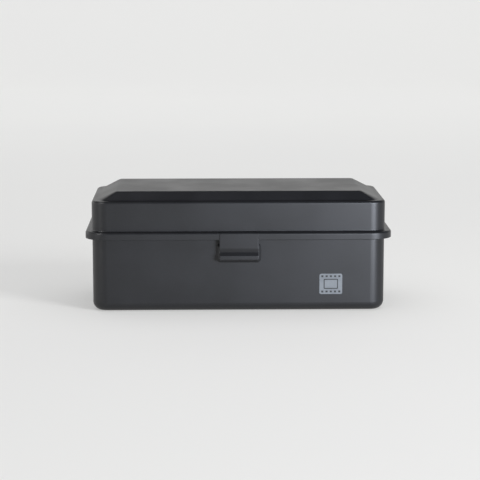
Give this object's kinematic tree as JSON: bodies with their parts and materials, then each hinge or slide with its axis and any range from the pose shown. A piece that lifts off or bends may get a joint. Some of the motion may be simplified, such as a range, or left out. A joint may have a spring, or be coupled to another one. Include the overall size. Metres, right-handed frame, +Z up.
{
  "type": "film storage case",
  "caption": "Pressed-steel storage case for film rolls, with a hinged lid, a stepped raised top, a lipped rim and a front snap latch.",
  "frame": {"origin": "centre of the base, on the surface the case stands on", "axes": "+X to the case's right seen from the front, +Y towards the hinges at the back, +Z up; the latch is on the -Y side"},
  "size_m": [0.1618, 0.0797, 0.0632],
  "materials": {
    "coat": "dark grey satin powder coat",
    "steel": "bare drawn steel wire",
    "foam": "fine closed-cell foam"
  },
  "bodies": {
    "case": {"body_shell": "coat", "catch_plate": "coat", "base_liner": "foam", "left_hinge_body_leaf": "coat", "right_hinge_body_leaf": "coat", "left_hinge_pin": "steel", "right_hinge_pin": "steel", "left_body_rivets": "coat", "right_body_rivets": "coat"},
    "lid": {"lid_shell": "coat", "lid_liner": "foam", "left_hinge_lid_leaf": "coat", "right_hinge_lid_leaf": "coat", "left_lid_rivets": "coat", "right_lid_rivets": "coat"},
    "latch": {"latch_tongue": "coat"}
  },
  "joints": [
    {"name": "lid_hinge", "type": "hinge", "parent": "case", "child": "lid", "pos_m": [0, 0.0394, 0.0386], "axis": [-1, 0, 0], "range_deg": [0, 110]},
    {"name": "latch_flex", "type": "hinge", "parent": "lid", "child": "latch", "pos_m": [0, -0.0334, 0.0422], "axis": [-1, 0, 0], "range_deg": [0, 6], "stiffness_Nm_per_rad": 0.5}
  ]
}
